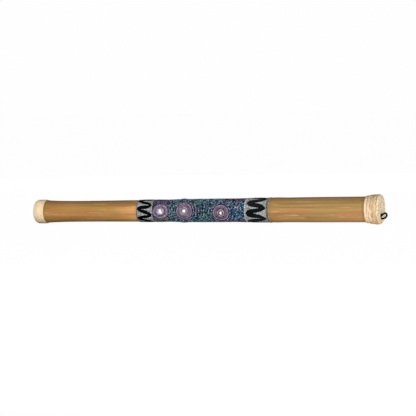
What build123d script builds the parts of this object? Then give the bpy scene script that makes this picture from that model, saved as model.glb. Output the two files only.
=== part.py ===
"""A bamboo rainstick: a sealed, pegged bamboo tube with grains inside, a dot-painted band round its
middle, cane-bound ends and a short hanging loop. Millimetres. The origin is on the tube's axis, halfway
along the stick; +X points to the end with the loop and +Z is up."""

import math
import os
import random

from build123d import *

# The stick as a whole
LENGTH = 1000.0
LEFT_END = -LENGTH / 2
RIGHT_END = LENGTH / 2
GAP = 0.05  # left between pieces that touch, so that no curved faces overlap

# Bamboo tube: a straight taper with a flare at the left end, one swollen node and slight unevenness
TUBE_LEFT = LEFT_END + 12.0
TUBE_RIGHT = RIGHT_END - 12.0
MIDDLE_RADIUS = 31.05
TAPER = 0.00704  # radius gained per millimetre towards the root end
LEFT_FLARE = 3.6
LEFT_FLARE_LENGTH = 46.0
NODE_X = -57.0
NODE_HALF_WIDTH = 9.0
# place, height and half width of each swelling or dip of the culm; the first is the node
SWELLINGS = (
    (NODE_X, 1.5, NODE_HALF_WIDTH),
    (-100.0, -0.8, 20.0),
    (90.0, -0.5, 36.0),
    (210.0, 1.0, 20.0),
    (300.0, 0.5, 90.0),
)
BORE_RADIUS = 24.0
DIAPHRAGM_RIDGE = 1.0  # what is left standing of the knocked-out diaphragm
DIAPHRAGM_HALF_WIDTH = 4.0

# Pegs: a helix of radial bamboo pins driven through the wall
PEG_RADIUS = 1.2
PEG_TIP_RADIUS = 8.0  # the tips stop this far from the axis
PEG_SINK = 0.1
PEGS_PER_TURN = 12
PEG_TURNS = 9
PEG_PITCH = 8.0  # along the axis, from one peg to the next
PEG_START = -PEG_PITCH * (PEG_TURNS * PEGS_PER_TURN - 1) / 2
PEG_FIRST_STEP = 3  # steps of the helix between +Y and the first peg

# Grains: seeds lying in the lowest lanes between the rows of pegs
GRAIN_RADIUS = 1.9
GRAIN_SPREAD = 0.25
GRAIN_ROWS = 14
GRAIN_PITCH = 4.3
GRAIN_LANES = (240.0, 270.0, 300.0)
GRAIN_COLUMNS = ((20.5, -2.0), (20.5, 2.0), (16.8, 0.0), (12.9, 0.0))  # height and sideways place in a lane
GRAIN_START = LEFT_END + 25.0

# End discs: a wooden flange on the tube's end with a spigot in the bore
FLANGE_THICKNESS = 4.0
SPIGOT_LENGTH = 10.0
SPIGOT_RADIUS = BORE_RADIUS - 0.1
LEFT_FLANGE_RADIUS = 30.0
RIGHT_FLANGE_RADIUS = 33.5
KNOT_POCKET_RADIUS = 9.5
KNOT_POCKET_DEPTH = 10.0

# Left cap: a smooth cane cover with low, flat strips wound round its skirt
LEFT_CAP_LENGTH = 34.0
LEFT_CAP_RADIUS = 33.2
LEFT_CAP_ROUNDING = 12.0
LEFT_STRIPS = 4
LEFT_STRIP_THICKNESS = 1.3

# Right cap: a cover pad with a skirt, thick cane wound round the skirt, strips laced over the edge
RIGHT_CAP_LENGTH = 39.5
RIGHT_SKIRT_RADIUS = 35.7
RIGHT_RIM_RADIUS = 39.2
RIGHT_RIM_ROUNDING = 3.4
STRIP_THICKNESS = 0.8
# width and outer radius of each turn of cane, from the tube towards the end
CANE_TURNS = (
    (6.6, 36.9),
    (4.8, 38.3),
    (4.8, 38.9),
    (4.9, 39.4),
    (5.0, 40.1),
    (5.0, 40.3),
    (5.0, 39.9),
)
LACING_STRIPS = 20
LACING_ANGLE = 13.0
LACING_INNER_RADIUS = 9.0
LACING_CLEARANCE = 8.0  # degrees left free beside each cord exit
TURN_ROUNDING = 0.42  # of a turn's width or thickness, whichever is less
LEFT_STRIP_ROUNDING = 0.5

# Hanging loop: one stiff cord with both ends knotted behind the cover
CORD_RADIUS = 2.8
SOCKET_RADIUS = CORD_RADIUS + 0.6
LOOP_EXIT = (RIGHT_END, -10.0, -16.6)
LOOP_RETURN = (RIGHT_END, -2.0, -24.8)
LOOP_POINTS = (
    LOOP_EXIT,
    (RIGHT_END + 5.0, -9.8, -12.4),
    (RIGHT_END + 10.4, -9.0, -9.4),
    (RIGHT_END + 15.2, -7.8, -10.8),
    (RIGHT_END + 16.0, -6.2, -16.2),
    (RIGHT_END + 12.4, -4.4, -21.4),
    (RIGHT_END + 6.6, -2.8, -24.6),
    LOOP_RETURN,
)
ARC_SHARE = 0.45  # of the shorter run beside a point, which the arc at that point takes up
KNOT_CENTRE = (RIGHT_END - 13.0, -4.0, -12.0)
KNOT_RADIUS = 4.8

# Painted band: coats of coloured sand with raised strokes, rings and rosettes
BAND_LEFT = -188.0
FIELD_LEFT = -140.5
FIELD_RIGHT = 124.5
BAND_RIGHT = 195.0
COAT_THICKNESS = 0.65
PAINT_THICKNESS = 0.5
EDGE_WIDTH = 3.0
DOT_RING_WIDTH = 6.0
BORDER_RING_WIDTH = 7.0
ZIGZAG_TEETH = 7
LEFT_ZIGZAG = (-180.6, -146.0)
RIGHT_ZIGZAG = (137.5, 182.2)
LEFT_STROKE = 8.4
RIGHT_STROKE = 10.8
LEFT_ZIGZAG_TURN = -7.0
RIGHT_ZIGZAG_TURN = 14.0
ROSETTE_RADIUS = 22.5
ROSETTE_CORE_RADIUS = 6.0
ROSETTE_RING = 1.4
ROSETTE_RING_SHARES = (1.0, 0.76, 0.52)  # radius of each ring over the rosette's
PAINT_CUTTER = 8.0  # height of the shapes that pick out a stroke from the paint layer
# place along the axis and angle below the front of the tube
ROSETTES = ((-116.7, 1.0), (-46.6, -1.0), (58.8, 10.0), (-80.0, 176.0), (10.0, 188.0), (95.0, 172.0))

PROFILE_STEP = 12.0


def culm_radius(x):
    """Outside radius of the bamboo at x."""
    past_cap = max(x - (LEFT_END + LEFT_CAP_LENGTH), 0)
    flare = LEFT_FLARE * math.exp(-past_cap / LEFT_FLARE_LENGTH)
    swollen = sum(height * math.exp(-(((x - place) / width) ** 2)) for place, height, width in SWELLINGS)
    return MIDDLE_RADIUS + TAPER * x + flare + swollen


def stations(start, end):
    """Places along the axis for an outline: one shared grid, closer together round the node."""
    fine = [NODE_X + NODE_HALF_WIDTH / 2 * k for k in range(-5, 6)]
    steps = range(1, math.ceil(LENGTH / PROFILE_STEP))
    before = [fine[0] - PROFILE_STEP * k for k in steps]
    after = [fine[-1] + PROFILE_STEP * k for k in steps]
    inside = [x for x in before + fine + after if start + 2 < x < end - 2]
    return sorted([start, end] + (inside or [(start + end) / 2]))


def spun(*edges):
    """The solid that a closed outline in the XY plane sweeps round the X axis."""
    return revolve(make_face(edges), Axis.X)


def rounded(centre, radius, side):
    """The quarter circle from straight above its centre to the side that faces along the axis."""
    x, y = centre
    half = radius * math.sqrt(0.5)
    return ThreePointArc((x, y + radius), (x + side * half, y + half), (x + side * radius, y))


def sleeve(start, end, inner, outer):
    """A layer that follows the bamboo, from `inner` to `outer` millimetres above its surface."""
    places = stations(start, end)
    low = [(x, culm_radius(x) + inner) for x in places]
    high = [(x, culm_radius(x) + outer) for x in places]
    return spun(Polyline(*high, *reversed(low), close=True))


def radial(x, angle):
    """A plane on the axis at x whose Z points outwards, `angle` degrees round from +Y towards +Z."""
    turn = math.radians(angle)
    return Plane(origin=(x, 0, 0), x_dir=(1, 0, 0), z_dir=(0, math.cos(turn), math.sin(turn)))


def front(angle):
    """The angle round the tube of a place `angle` degrees below its front."""
    return 180.0 + angle


def peg_places():
    """Place and angle of every peg, in order along the helix."""
    step = 360.0 / PEGS_PER_TURN
    return [
        (PEG_START + PEG_PITCH * i, step / 2 + step * ((i + PEG_FIRST_STEP) % PEGS_PER_TURN))
        for i in range(PEG_TURNS * PEGS_PER_TURN)
    ]


def bamboo_tube():
    places = stations(TUBE_LEFT, TUBE_RIGHT)
    outline = [(x, culm_radius(x)) for x in places]
    ridge_left = (NODE_X - DIAPHRAGM_HALF_WIDTH, BORE_RADIUS)
    ridge_top = (NODE_X, BORE_RADIUS - DIAPHRAGM_RIDGE)
    ridge_right = (NODE_X + DIAPHRAGM_HALF_WIDTH, BORE_RADIUS)
    right_mouth = (TUBE_RIGHT, BORE_RADIUS)
    left_mouth = (TUBE_LEFT, BORE_RADIUS)
    tube = spun(
        Polyline(left_mouth, *outline, right_mouth, ridge_right),
        ThreePointArc(ridge_right, ridge_top, ridge_left),
        Line(ridge_left, left_mouth),
    )
    reach = 2 * culm_radius(TUBE_RIGHT)
    low = (Align.CENTER, Align.CENTER, Align.MIN)
    holes = [radial(x, angle) * Cylinder(PEG_RADIUS, reach, align=low) for x, angle in peg_places()]
    return tube - holes


def peg_turn(turn):
    """The pegs of one turn of the helix."""
    pegs = []
    for x, angle in peg_places()[turn * PEGS_PER_TURN : (turn + 1) * PEGS_PER_TURN]:
        length = culm_radius(x) - PEG_SINK - PEG_TIP_RADIUS
        peg = Cylinder(PEG_RADIUS, length, align=(Align.CENTER, Align.CENTER, Align.MIN))
        pegs.append(radial(x, angle) * (Pos(0, 0, PEG_TIP_RADIUS) * peg))
    return Compound(children=pegs)


def grain_charge():
    """Seeds in columns that run straight between the pegs, each a little different."""
    chance = random.Random(4)
    grains = []
    for lane in GRAIN_LANES:
        for height, sideways in GRAIN_COLUMNS:
            for row in range(GRAIN_ROWS):
                radius = GRAIN_RADIUS - chance.uniform(0, GRAIN_SPREAD)
                x = GRAIN_START + GRAIN_PITCH * row + chance.uniform(-0.2, 0.2)
                grains.append(radial(x, lane) * (Pos(0, sideways, height) * Sphere(radius)))
    return Compound(children=grains)


def end_disc(side, flange_radius):
    """A stepped disc: the flange covers the tube's end and the spigot plugs its bore."""
    end = TUBE_RIGHT if side > 0 else TUBE_LEFT
    flange = Cylinder(flange_radius, FLANGE_THICKNESS, align=(Align.CENTER, Align.CENTER, Align.MIN))
    spigot = Cylinder(SPIGOT_RADIUS, SPIGOT_LENGTH + GAP, align=(Align.CENTER, Align.CENTER, Align.MAX))
    outwards = Plane(origin=(end + side * GAP, 0, 0), x_dir=(0, 1, 0), z_dir=(side, 0, 0))
    return outwards * (flange + spigot)


def left_end_disc():
    return end_disc(-1, LEFT_FLANGE_RADIUS)


def right_end_disc():
    pocket = Cylinder(KNOT_POCKET_RADIUS, KNOT_POCKET_DEPTH, align=(Align.CENTER, Align.CENTER, Align.MAX))
    face_x = TUBE_RIGHT + GAP + FLANGE_THICKNESS
    at_knot = Plane(origin=(face_x, KNOT_CENTRE[1], KNOT_CENTRE[2]), x_dir=(0, 1, 0), z_dir=(1, 0, 0))
    return end_disc(1, RIGHT_FLANGE_RADIUS) - at_knot * pocket


def left_end_cover():
    """A cup over the end: a thin skirt on the tube and a rounded pad over the disc."""
    edge = LEFT_END + LEFT_CAP_LENGTH
    step = edge - LEFT_STRIPS * left_strip_width()
    inner_edge = culm_radius(edge) + GAP
    skirt = LEFT_CAP_RADIUS - LEFT_STRIP_THICKNESS - GAP
    seat = TUBE_LEFT - FLANGE_THICKNESS - 2 * GAP
    shoulder = (LEFT_END + LEFT_CAP_ROUNDING, LEFT_CAP_RADIUS)
    face = (LEFT_END, LEFT_CAP_RADIUS - LEFT_CAP_ROUNDING)
    return spun(
        Line((seat, 0), (seat, inner_edge)),
        Line((seat, inner_edge), (edge, inner_edge)),
        Line((edge, inner_edge), (edge, skirt)),
        Line((edge, skirt), (step, skirt)),
        Line((step, skirt), (step, LEFT_CAP_RADIUS)),
        Line((step, LEFT_CAP_RADIUS), shoulder),
        rounded((shoulder[0], face[1]), LEFT_CAP_ROUNDING, -1),
        Line(face, (LEFT_END, 0)),
        Line((LEFT_END, 0), (seat, 0)),
    )


def left_strip_width():
    return (LEFT_CAP_LENGTH - LEFT_CAP_ROUNDING - 1.0) / LEFT_STRIPS


def hoop(start, end, inner, outer, rounding):
    """A ring round the axis whose outer corners are rounded."""
    flat = Plane.XY * (Pos((start + end) / 2, (inner + outer) / 2) * Rectangle(end - start, outer - inner))
    corners = flat.vertices().sort_by(Axis.Y)[-2:]
    return revolve(fillet(corners, rounding), Axis.X)


def left_cane_strip(index):
    """One flat strip wound round the left skirt, counted from the tube towards the end."""
    width = left_strip_width()
    end = LEFT_END + LEFT_CAP_LENGTH - index * width
    inner = LEFT_CAP_RADIUS - LEFT_STRIP_THICKNESS
    return hoop(end - width + GAP, end, inner, LEFT_CAP_RADIUS, LEFT_STRIP_ROUNDING)


def loop_cutters():
    """What the cord needs cut out of the cover: a round socket at each exit and a hole behind it."""
    cutters = []
    for place in (LOOP_EXIT, LOOP_RETURN):
        inwards = Vector(*KNOT_CENTRE) - Vector(*place)
        hole = Cylinder(CORD_RADIUS + GAP, inwards.length, align=(Align.CENTER, Align.CENTER, Align.MIN))
        cutters.append(Plane(origin=place, z_dir=inwards) * hole)
        cutters.append(Pos(*place) * Sphere(SOCKET_RADIUS))
    return cutters


def right_end_cover():
    """A skirt under the wound cane and a rounded pad over the disc, pierced for the cord."""
    edge = RIGHT_END - RIGHT_CAP_LENGTH
    inner_edge = culm_radius(TUBE_RIGHT) + GAP
    step = RIGHT_END - RIGHT_RIM_ROUNDING
    seat = TUBE_RIGHT + FLANGE_THICKNESS + 2 * GAP
    face_x = RIGHT_END - STRIP_THICKNESS
    rim = RIGHT_RIM_RADIUS - STRIP_THICKNESS
    rounding = RIGHT_RIM_ROUNDING - STRIP_THICKNESS
    face = (face_x, rim - rounding)
    pad = spun(
        Line((seat, 0), (seat, inner_edge)),
        Line((seat, inner_edge), (edge, inner_edge)),
        Line((edge, inner_edge), (edge, RIGHT_SKIRT_RADIUS)),
        Line((edge, RIGHT_SKIRT_RADIUS), (step, RIGHT_SKIRT_RADIUS)),
        Line((step, RIGHT_SKIRT_RADIUS), (step, rim)),
        rounded((step, face[1]), rounding, 1),
        Line(face, (face_x, 0)),
        Line((face_x, 0), (seat, 0)),
    )
    return pad - loop_cutters()


def cane_turn(index):
    """One turn of thick cane round the right skirt."""
    start = RIGHT_END - RIGHT_CAP_LENGTH + sum(width for width, _ in CANE_TURNS[:index])
    width, outer = CANE_TURNS[index]
    inner = RIGHT_SKIRT_RADIUS + GAP
    rounding = min(width - GAP, outer - inner) * TURN_ROUNDING
    return hoop(start + GAP, start + width, inner, outer, rounding)


def lacing_strip():
    """One strip from near the middle of the right end face, out and over the rim."""
    face_x = RIGHT_END - STRIP_THICKNESS + GAP
    start_x = RIGHT_END - RIGHT_RIM_ROUNDING
    edge = RIGHT_RIM_RADIUS - RIGHT_RIM_ROUNDING
    outline = make_face(
        [
            Line((face_x, LACING_INNER_RADIUS), (face_x, edge)),
            rounded((start_x, edge), RIGHT_RIM_ROUNDING - STRIP_THICKNESS + GAP, 1),
            Line((start_x, edge + RIGHT_RIM_ROUNDING - STRIP_THICKNESS + GAP), (start_x, RIGHT_RIM_RADIUS)),
            rounded((start_x, edge), RIGHT_RIM_ROUNDING, 1),
            Line((RIGHT_END, edge), (RIGHT_END, LACING_INNER_RADIUS)),
            Line((RIGHT_END, LACING_INNER_RADIUS), (face_x, LACING_INNER_RADIUS)),
        ]
    )
    return revolve(outline, Axis.X, LACING_ANGLE)


def edge_lacing():
    """Strips laced over the right rim, left out where the cord comes through."""
    strip = lacing_strip()
    exits = [math.degrees(math.atan2(z, y)) % 360 for _, y, z in (LOOP_EXIT, LOOP_RETURN)]
    strips = []
    for k in range(LACING_STRIPS):
        start = 360.0 / LACING_STRIPS * k
        middle = start + LACING_ANGLE / 2
        if all(abs(middle - angle) > LACING_ANGLE / 2 + LACING_CLEARANCE for angle in exits):
            strips.append(Rot(start, 0, 0) * strip)
    return Compound(children=strips)


def loop_radii():
    """The arc at each inner point of the loop's route, as large as the runs beside it allow."""
    radii = []
    for before, here, after in zip(LOOP_POINTS, LOOP_POINTS[1:], LOOP_POINTS[2:]):
        arriving = Vector(*here) - Vector(*before)
        leaving = Vector(*after) - Vector(*here)
        turn = math.radians(arriving.get_angle(leaving))
        shorter = min(arriving.length, leaving.length)
        radii.append(ARC_SHARE * shorter / math.tan(turn / 2))
    return radii


def hanging_loop():
    """The cord outside the cover, with a ball at each end so that it turns in its sockets."""
    radii = loop_radii()
    route = FilletPolyline(*LOOP_POINTS, radius=radii)
    start = Plane(origin=route @ 0, z_dir=route % 0)
    tube = sweep(start * Circle(CORD_RADIUS), path=route)
    balls = [Pos(*place) * Sphere(CORD_RADIUS) for place in (LOOP_EXIT, LOOP_RETURN)]
    section = math.pi * CORD_RADIUS**2
    print(f"loop: route {route.length:.1f} mm, radii {[round(radius, 1) for radius in radii]}")
    print(f"loop: volume {tube.volume:.1f}, section times length {section * route.length:.1f}")
    return tube + balls


def loop_tails():
    """The cord's two ends, from the sockets to the knot behind the cover."""
    tails = []
    for place in (LOOP_EXIT, LOOP_RETURN):
        inwards = Vector(*KNOT_CENTRE) - Vector(*place)
        length = inwards.length - SOCKET_RADIUS - KNOT_RADIUS - GAP
        tail = Cylinder(CORD_RADIUS, length, align=(Align.CENTER, Align.CENTER, Align.MIN))
        tails.append(Plane(origin=place, z_dir=inwards) * (Pos(0, 0, SOCKET_RADIUS) * tail))
    return Compound(children=tails)


def loop_knot():
    return Pos(*KNOT_CENTRE) * Sphere(KNOT_RADIUS)


def coat(start, end):
    return sleeve(start, end - GAP, GAP, COAT_THICKNESS)


def paint(start, end):
    """A raised layer on top of the coat."""
    return sleeve(start, end, COAT_THICKNESS + GAP, COAT_THICKNESS + PAINT_THICKNESS)


def zigzag(limits, stroke, turn):
    """Serpentine stroke round the tube: straight bars from tooth to tooth, rounded where they meet."""
    left, right = limits
    half_tooth = 180.0 / ZIGZAG_TEETH
    radius = culm_radius((left + right) / 2) + COAT_THICKNESS
    rise = radius * math.radians(half_tooth)
    length = math.hypot(right - left, rise)
    slant = math.degrees(math.atan2(rise, right - left))
    shapes = []
    for k in range(2 * ZIGZAG_TEETH):
        sign = 1 if k % 2 == 0 else -1
        middle = front(turn + half_tooth * (k + 0.5))
        corner = front(turn + half_tooth * k)
        bar = Pos(0, 0, radius) * (Rot(0, 0, sign * slant) * Box(length, stroke, PAINT_CUTTER))
        cap = Pos(0, 0, radius) * Cylinder(stroke / 2, PAINT_CUTTER)
        shapes.append(radial((left + right) / 2, middle) * bar)
        shapes.append(radial(left if k % 2 == 0 else right, corner) * cap)
    return paint(left - stroke, right + stroke) & shapes[0].fuse(*shapes[1:])


def painted_ring(start, width):
    return paint(start + GAP, start + width - GAP)


def on_band(shapes, x):
    """The part of the radial shapes that lies in the raised paint layer around x."""
    reach = ROSETTE_RADIUS + 3
    layer = paint(x - reach, x + reach)
    return [layer & shape for shape in shapes]


def rosette_rings():
    """Three raised rings in each rosette."""
    rings = []
    for x, angle in ROSETTES:
        for share in ROSETTE_RING_SHARES:
            outer = ROSETTE_RADIUS * share
            ring = Cylinder(outer, 2 * PAINT_CUTTER) - Cylinder(outer - ROSETTE_RING, 2 * PAINT_CUTTER)
            rings.append((x, radial(x, front(angle)) * (Pos(0, 0, culm_radius(x)) * ring)))
    return Compound(children=[piece for x, ring in rings for piece in on_band([ring], x)])


def rosette_cores():
    cores = []
    for x, angle in ROSETTES:
        core = Pos(0, 0, culm_radius(x)) * Cylinder(ROSETTE_CORE_RADIUS, PAINT_CUTTER)
        cores += on_band([radial(x, front(angle)) * core], x)
    return Compound(children=cores)


def pieces():
    """Every node's name and shape."""
    yield "bamboo_tube", bamboo_tube()
    for turn in range(PEG_TURNS):
        yield f"peg_turn_{turn + 1}", peg_turn(turn)
    yield "grain_charge", grain_charge()
    yield "left_end_disc", left_end_disc()
    yield "right_end_disc", right_end_disc()
    yield "left_end_cover", left_end_cover()
    yield "right_end_cover", right_end_cover()
    for index in range(LEFT_STRIPS):
        yield f"left_cane_strip_{index + 1}", left_cane_strip(index)
    for index in range(len(CANE_TURNS)):
        yield f"right_cane_turn_{index + 1}", cane_turn(index)
    yield "right_edge_lacing", edge_lacing()
    yield "hanging_loop", hanging_loop()
    yield "loop_tails", loop_tails()
    yield "loop_knot", loop_knot()
    yield "left_border_coat", coat(BAND_LEFT, FIELD_LEFT)
    yield "dot_field_coat", coat(FIELD_LEFT, FIELD_RIGHT)
    yield "right_border_coat", coat(FIELD_RIGHT, BAND_RIGHT)
    yield "left_edge_line", painted_ring(BAND_LEFT, EDGE_WIDTH)
    yield "field_dot_ring", painted_ring(FIELD_RIGHT, DOT_RING_WIDTH)
    yield "right_border_ring", painted_ring(BAND_RIGHT - BORDER_RING_WIDTH, BORDER_RING_WIDTH)
    yield "left_zigzag", zigzag(LEFT_ZIGZAG, LEFT_STROKE, LEFT_ZIGZAG_TURN)
    yield "right_zigzag", zigzag(RIGHT_ZIGZAG, RIGHT_STROKE, RIGHT_ZIGZAG_TURN)
    yield "rosette_rings", rosette_rings()
    yield "rosette_cores", rosette_cores()


os.makedirs("parts", exist_ok=True)
for name, shape in pieces():
    export_step(shape, f"parts/{name}.step")
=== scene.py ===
"""Looks of a bamboo rainstick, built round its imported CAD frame: studio, camera and detailed pieces.
Shapes are worked out in millimetres and become metres when their mesh is made."""

import math

import bmesh
import bpy
import numpy as np
from mathutils import Matrix, Vector


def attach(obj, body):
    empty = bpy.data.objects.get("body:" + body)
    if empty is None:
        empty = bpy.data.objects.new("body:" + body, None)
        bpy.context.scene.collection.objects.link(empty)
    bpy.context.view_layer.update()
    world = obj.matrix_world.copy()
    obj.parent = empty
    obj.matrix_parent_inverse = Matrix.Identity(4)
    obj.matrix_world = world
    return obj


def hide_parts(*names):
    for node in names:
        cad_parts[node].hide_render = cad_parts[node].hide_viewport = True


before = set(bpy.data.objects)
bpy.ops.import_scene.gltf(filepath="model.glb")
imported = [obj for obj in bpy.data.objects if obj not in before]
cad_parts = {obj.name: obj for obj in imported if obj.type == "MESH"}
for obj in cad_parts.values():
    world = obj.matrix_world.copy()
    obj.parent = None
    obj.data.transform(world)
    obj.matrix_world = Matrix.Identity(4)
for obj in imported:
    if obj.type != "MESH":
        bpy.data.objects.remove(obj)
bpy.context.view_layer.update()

MM = 0.001
PHASES = (0, 6.28)  # limits of a random phase

# Bamboo, as in the CAD source
LEFT_END = -500.0
RIGHT_END = 500.0
TUBE_LEFT = -488.0
TUBE_RIGHT = 488.0
MIDDLE_RADIUS = 31.05
TAPER = 0.00704
LEFT_FLARE = 3.6
LEFT_FLARE_LENGTH = 46.0
FLARE_START = -466.0
NODE_X = -57.0
# place, height and half width of each swelling or dip of the culm; the first is the node
SWELLINGS = (
    (NODE_X, 1.5, 9.0),
    (-100.0, -0.8, 20.0),
    (90.0, -0.5, 36.0),
    (210.0, 1.0, 20.0),
    (300.0, 0.5, 90.0),
)
BORE_RADIUS = 24.0
PEG_RADIUS = 1.2
PEG_PITCH = 8.0
PEG_COUNT = 108
PEGS_PER_TURN = 12

# Painted band
BAND_LEFT = -188.0
FIELD_LEFT = -140.5
FIELD_RIGHT = 124.5
BAND_RIGHT = 195.0
COAT = 0.65
EDGE_LINE_WIDTH = 3.0
FIELD_RING_WIDTH = 6.0
BORDER_RING_WIDTH = 8.0
ZIGZAG_TEETH = 7
HALF_TOOTH = 180.0 / ZIGZAG_TEETH  # degrees
LEFT_ZIGZAG = (-183.6, -143.8)
LEFT_ZIGZAG_TURN = -10.5
RIGHT_ZIGZAG = (137.5, 183.0)
RIGHT_ZIGZAG_TURN = 13.0
ROSETTE_RADIUS = 22.5
# place along the axis and degrees below the front; the first three face the camera
ROSETTES = ((-116.7, 1.0), (-46.6, -1.0), (58.8, 10.0), (-80.0, 176.0), (10.0, 188.0), (95.0, 172.0))
BAND_ARC = 31.8  # radius at which the band's pattern is laid out flat
DOT_PITCH = 3.9

# Caps
LEFT_CAP_EDGE = -466.0
LEFT_CAP_RADIUS = 33.2
LEFT_CAP_ROUNDING = 12.0
LEFT_SHOULDER = LEFT_END + LEFT_CAP_ROUNDING
LEFT_FACE_RADIUS = LEFT_CAP_RADIUS - LEFT_CAP_ROUNDING
RIGHT_CAP_EDGE = 460.5
RIGHT_RIM_RADIUS = 39.2
RIGHT_RIM_ROUNDING = 3.4
RIGHT_SHOULDER = RIGHT_END - RIGHT_RIM_ROUNDING
RIGHT_FACE_RADIUS = RIGHT_RIM_RADIUS - RIGHT_RIM_ROUNDING
COVER_INSIDE = 492.2  # the inside of both end covers is this far from the middle
# where each turn of the right binding ends, and its outer radius
RIGHT_BINDING = (
    (460.5, 36.9),
    (467.1, 36.9),
    (471.9, 38.3),
    (476.7, 38.9),
    (481.6, 39.4),
    (486.6, 40.1),
    (491.6, 40.3),
    (496.6, 39.9),
)
STAKES = 20
RIM_PAINTED_SHADE = 0.28  # painted shade: taken off the tone of the lacing where it faces outwards, so it reads darker over the rim than on the face
HOOP = np.linspace(0, 360, 120, endpoint=False)  # degrees, once round the axis

# Hanging loop, in metres: the route's points from the CAD source, moved by up to a millimetre
CORD_DIAMETER = 0.0056
LOOP_ROUTE = (
    (0.5, -0.010, -0.0166),
    (0.5046, -0.0100, -0.0128),
    (0.5098, -0.0095, -0.0096),
    (0.5145, -0.0083, -0.0108),
    (0.5154, -0.0067, -0.0162),
    (0.5118, -0.0050, -0.0212),
    (0.5062, -0.0034, -0.0245),
    (0.5, -0.002, -0.0248),
)
SOCKET_RADIUS = 3.45
CORD_CLEARANCE = 4.5


# ---------------------------------------------------------------- node trees


def srgb(red, green, blue):
    """A linear colour from 0-255 screen values."""
    linear = [((c / 255 + 0.055) / 1.055) ** 2.4 if c > 10 else c / 255 / 12.92 for c in (red, green, blue)]
    return (*linear, 1.0)


class Nodes:
    """A node tree being put together."""

    def __init__(self, tree):
        self.tree = tree

    def feed(self, node, inputs):
        """Sets each input to its value, or links it where the value is another node's output."""
        for name, value in inputs.items():
            if hasattr(value, "is_output"):
                self.tree.links.new(value, node.inputs[name])
            else:
                node.inputs[name].default_value = value

    def node(self, kind, inputs=None, **settings):
        node = self.tree.nodes.new(kind)
        for name, value in settings.items():
            setattr(node, name, value)
        self.feed(node, inputs or {})
        return node

    def spread(self, factor, low, high, to_low=0.0, to_high=1.0):
        """The factor's range from low to high, stretched to another range."""
        inputs = {"Value": factor, "From Min": low, "From Max": high, "To Min": to_low, "To Max": to_high}
        return self.node("ShaderNodeMapRange", inputs).outputs["Result"]

    def seen_or_lit(self, seen, lighting, output):
        """Ends the tree: the camera sees one shader, and every other ray meets the other."""
        camera_ray = self.node("ShaderNodeLightPath").outputs["Is Camera Ray"]
        mix = self.node("ShaderNodeMixShader", {0: camera_ray, 1: lighting.outputs[0], 2: seen.outputs[0]})
        self.node(output, {"Surface": mix.outputs[0]})


def empty_tree(owner):
    """The owner's node tree, with nothing in it yet."""
    owner.use_nodes = True
    owner.node_tree.nodes.clear()
    return Nodes(owner.node_tree)


# ---------------------------------------------------------------- camera, stage and light


def make_camera():
    """The camera in front of the stick, a little to the loop's side and a little above."""
    azimuth, elevation, roll = math.radians(20.0), math.radians(3.0), math.radians(-1.50)
    distance = 5.72
    aim = Vector((0.0116, 0.0, 0.0066))
    back = Vector(
        (
            math.sin(azimuth) * math.cos(elevation),
            -math.cos(azimuth) * math.cos(elevation),
            math.sin(elevation),
        )
    )
    data = bpy.data.cameras.new("camera")
    data.sensor_width = 36.0
    data.lens = 181.9
    data.clip_start = 0.1
    data.clip_end = 100.0
    camera = bpy.data.objects.new("camera", data)
    camera.location = aim + back * distance
    turned = (-back).to_track_quat("-Z", "Y").to_matrix() @ Matrix.Rotation(roll, 3, "Z")
    camera.rotation_euler = turned.to_euler()
    bpy.context.scene.collection.objects.link(camera)
    bpy.context.scene.camera = camera


def make_world():
    """A white surround that lights the stick only softly."""
    world = bpy.data.worlds.new("surround")
    bpy.context.scene.world = world
    tree = empty_tree(world)
    seen = tree.node("ShaderNodeBackground", {"Color": (1, 1, 1, 1), "Strength": 0.992})
    lighting = tree.node("ShaderNodeBackground", {"Color": (0.96, 0.98, 1.0, 1), "Strength": 0.13})
    tree.seen_or_lit(seen, lighting, "ShaderNodeOutputWorld")


def floor_finish():
    """Plain and pale to the camera; it throws back less light towards the left."""
    material = bpy.data.materials.new("pale_floor")
    tree = empty_tree(material)
    place = tree.node("ShaderNodeTexCoord").outputs["Object"]
    along = tree.node("ShaderNodeSeparateXYZ", {0: place}).outputs[0]
    lighting = tree.node("ShaderNodeBsdfDiffuse", {"Color": tree.spread(along, -0.4, 0.5, 0.15, 1.0)})
    faint = tree.node("ShaderNodeBsdfDiffuse", {"Color": (0.02, 0.02, 0.02, 1)})
    glow = tree.node("ShaderNodeEmission", {"Strength": 0.985})
    seen = tree.node("ShaderNodeAddShader", {0: faint.outputs[0], 1: glow.outputs[0]})
    tree.seen_or_lit(seen, lighting, "ShaderNodeOutputMaterial")
    return material


def make_floor():
    """A pale floor that both caps touch."""
    left_x, left_z = -0.480, -0.0333
    right_x, right_z = 0.487, -0.0404
    reach = 30
    data = bpy.data.meshes.new("floor")
    corners = [(-reach, -reach, 0), (reach, -reach, 0), (reach, reach, 0), (-reach, reach, 0)]
    data.from_pydata(corners, [], [(0, 1, 2, 3)])
    data.materials.append(floor_finish())
    floor = bpy.data.objects.new("floor", data)
    floor.location = ((left_x + right_x) / 2, 0, (left_z + right_z) / 2 - 0.0004)
    floor.rotation_euler = (0, -math.atan2(right_z - left_z, right_x - left_x), 0)
    bpy.context.scene.collection.objects.link(floor)


def make_light(name, place, aim, width, height, power):
    """A soft rectangle of light, seen neither directly nor in reflections."""
    data = bpy.data.lights.new(name, "AREA")
    data.shape = "RECTANGLE"
    data.size = width
    data.size_y = height
    data.energy = power
    light = bpy.data.objects.new(name, data)
    light.location = place
    light.rotation_euler = (Vector(aim) - Vector(place)).to_track_quat("-Z", "Y").to_euler()
    light.visible_camera = False
    light.visible_glossy = False
    bpy.context.scene.collection.objects.link(light)


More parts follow.
